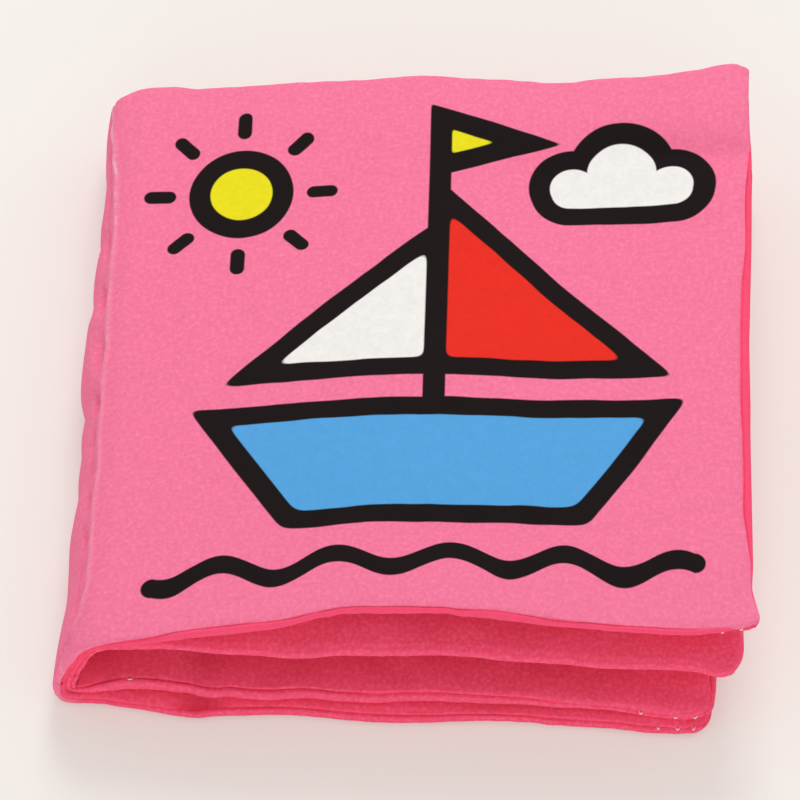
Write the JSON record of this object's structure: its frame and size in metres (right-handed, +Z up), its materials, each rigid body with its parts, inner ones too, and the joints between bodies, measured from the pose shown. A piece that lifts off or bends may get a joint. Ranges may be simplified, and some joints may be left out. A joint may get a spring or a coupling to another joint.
{
  "type": "crinkle cloth book",
  "caption": "Small square cloth book for a baby, shut, with padded pink leaves that hold a crinkling film and a front cover that springs up off the pages.",
  "frame": {"origin": "middle of the back cover's flat underside, on the surface that the book lies on", "axes": "+Z up through the closed leaves; the spine runs along Y at the -X side; the pages' near edge faces -Y"},
  "size_m": [0.1154, 0.1166, 0.0275],
  "materials": {
    "printed_cloth": "matt printed polyester cloth, fine plain weave",
    "wadding": "soft white fibre wadding",
    "crinkle_film": "thin clear crinkling film"
  },
  "bodies": {
    "front_cover": {"front_cover_outer_cloth": "printed_cloth", "front_cover_inner_cloth": "printed_cloth", "front_cover_wadding": "wadding", "front_cover_crinkle_film": "crinkle_film"},
    "second_leaf": {"second_leaf_upper_cloth": "printed_cloth", "second_leaf_lower_cloth": "printed_cloth", "second_leaf_wadding": "wadding", "second_leaf_crinkle_film": "crinkle_film"},
    "third_leaf": {"third_leaf_upper_cloth": "printed_cloth", "third_leaf_lower_cloth": "printed_cloth", "third_leaf_wadding": "wadding", "third_leaf_crinkle_film": "crinkle_film"},
    "back_cover": {"back_cover_inner_cloth": "printed_cloth", "back_cover_outer_cloth": "printed_cloth", "back_cover_wadding": "wadding", "back_cover_crinkle_film": "crinkle_film"},
    "spine": {"spine_outer_cloth": "printed_cloth", "spine_inner_cloth": "printed_cloth", "spine_wadding": "wadding", "page_fold_outer_cloth": "printed_cloth", "page_fold_inner_cloth": "printed_cloth"}
  },
  "joints": [
    {"name": "spine_fold", "type": "hinge", "parent": "back_cover", "child": "spine", "pos_m": [-0.054, 0, 0.00185], "axis": [0, -1, 0], "range_deg": [0, 87]},
    {"name": "front_cover_turn", "type": "hinge", "parent": "spine", "child": "front_cover", "pos_m": [-0.0516, 0, 0.01705], "axis": [0, -1, 0], "range_deg": [0, 85]},
    {"name": "second_leaf_turn", "type": "hinge", "parent": "spine", "child": "second_leaf", "pos_m": [-0.0498, 0, 0.0143], "axis": [0, -1, 0], "range_deg": [0, 28.5]},
    {"name": "third_leaf_turn", "type": "hinge", "parent": "spine", "child": "third_leaf", "pos_m": [-0.0514, 0, 0.005], "axis": [0, -1, 0], "range_deg": [-29.1, 0]}
  ],
  "couplings": [
    {"joint": "second_leaf_turn", "follows": "front_cover_turn", "ratio": 0.3333},
    {"joint": "third_leaf_turn", "follows": "spine_fold", "ratio": -0.3333}
  ]
}
